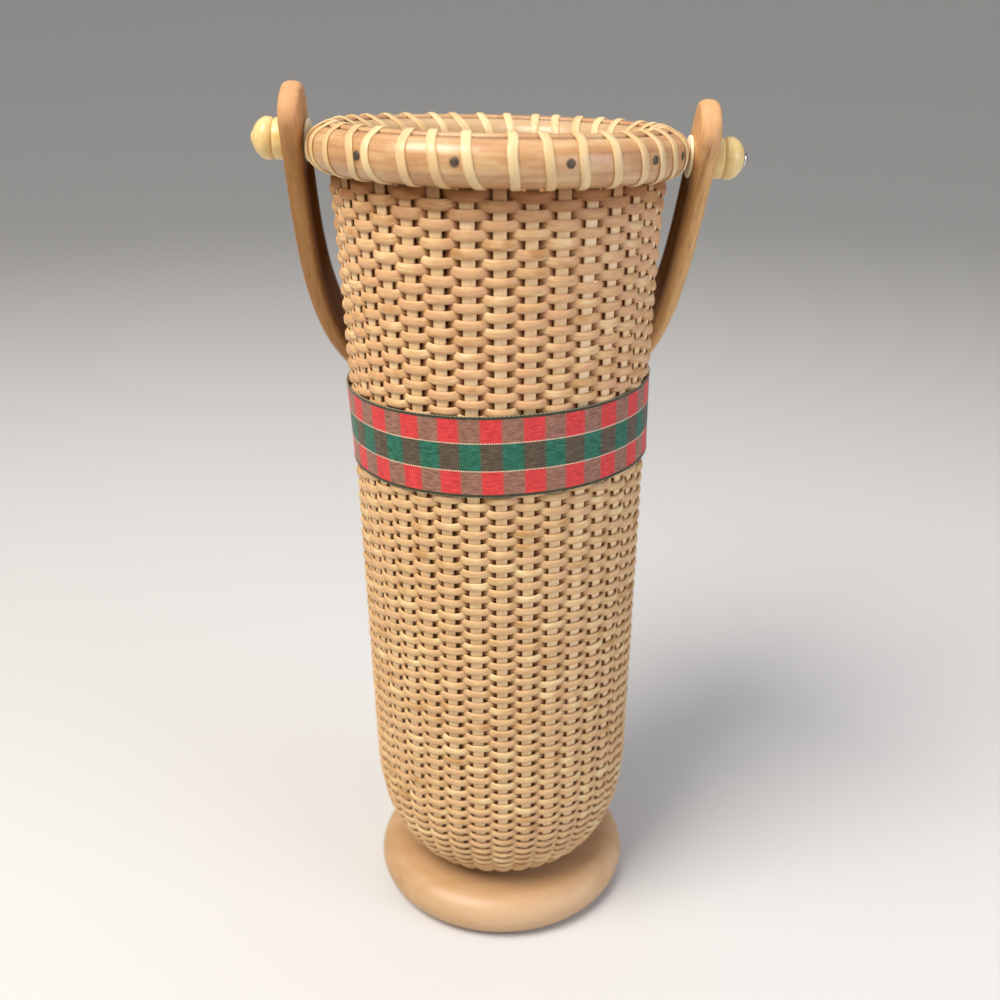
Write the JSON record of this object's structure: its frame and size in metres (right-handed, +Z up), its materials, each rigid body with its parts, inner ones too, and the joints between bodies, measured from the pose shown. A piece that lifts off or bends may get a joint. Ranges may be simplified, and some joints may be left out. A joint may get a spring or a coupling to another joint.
{
  "type": "basket",
  "caption": "Tall cylindrical woven cane basket on a turned wooden foot, with a lashed rim, a plaid ribbon band and a wooden swing handle on knobbed pivots.",
  "frame": {"origin": "centre of the foot's flat underside", "axes": "+Z up along the basket's axis, -Y the front, +X to the right seen from the front, close to the handle's pivot line"},
  "size_m": [0.1504, 0.1235, 0.2859],
  "materials": {
    "foot_wood": "pale turned wood, satin varnish",
    "plate_wood": "turned wood, oiled",
    "stave_cane": "split cane, fine grain, clear varnish",
    "weaver_cane": "round-edged flat cane, plain weave, clear varnish",
    "rim_wood": "half-round reed hoop, satin varnish",
    "lashing_cane": "flat binding cane, glossy face",
    "ribbon_cloth": "woven check ribbon, red, grey-brown, green and dark brown",
    "handle_wood": "steam-bent hardwood, satin varnish",
    "bone": "turned bone, polished",
    "brass": "polished",
    "tack_metal": "darkened"
  },
  "bodies": {
    "basket": {"bottom_plate": "plate_wood", "bottom_screw": "brass", "foot": "foot_wood", "inner_rim_hoop": "rim_wood", "knob_left": "bone", "knob_right": "bone", "outer_rim_hoop": "rim_wood", "pivot_pin_left": "brass", "pivot_pin_right": "brass", "ribbon": "ribbon_cloth", "rim_lashing": "lashing_cane", "rim_tack_01": "tack_metal", "rim_tack_02": "tack_metal", "rim_tack_03": "tack_metal", "rim_tack_04": "tack_metal", "rim_tack_05": "tack_metal", "rim_tack_06": "tack_metal", "rim_tack_07": "tack_metal", "rim_tack_08": "tack_metal", "rim_tack_09": "tack_metal", "rim_tack_10": "tack_metal", "stave_01": "stave_cane", "stave_02": "stave_cane", "stave_03": "stave_cane", "stave_04": "stave_cane", "stave_05": "stave_cane", "stave_06": "stave_cane", "stave_07": "stave_cane", "stave_08": "stave_cane", "stave_09": "stave_cane", "stave_10": "stave_cane", "stave_11": "stave_cane", "stave_12": "stave_cane", "stave_13": "stave_cane", "stave_14": "stave_cane", "stave_15": "stave_cane", "stave_16": "stave_cane", "stave_17": "stave_cane", "stave_18": "stave_cane", "stave_19": "stave_cane", "stave_20": "stave_cane", "stave_21": "stave_cane", "stave_22": "stave_cane", "stave_23": "stave_cane", "stave_24": "stave_cane", "stave_25": "stave_cane", "stave_26": "stave_cane", "stave_27": "stave_cane", "stave_28": "stave_cane", "stave_29": "stave_cane", "stave_30": "stave_cane", "stave_31": "stave_cane", "stave_32": "stave_cane", "stave_33": "stave_cane", "stave_34": "stave_cane", "stave_35": "stave_cane", "washer_left": "bone", "washer_right": "bone", "woven_wall": "weaver_cane"},
    "handle": {"handle": "handle_wood"}
  },
  "joints": [
    {"name": "handle_swing", "type": "hinge", "parent": "basket", "child": "handle", "pos_m": [0, 0, 0.2643], "axis": [0.9989, 0, -0.0478], "range_deg": [0, 293]}
  ]
}
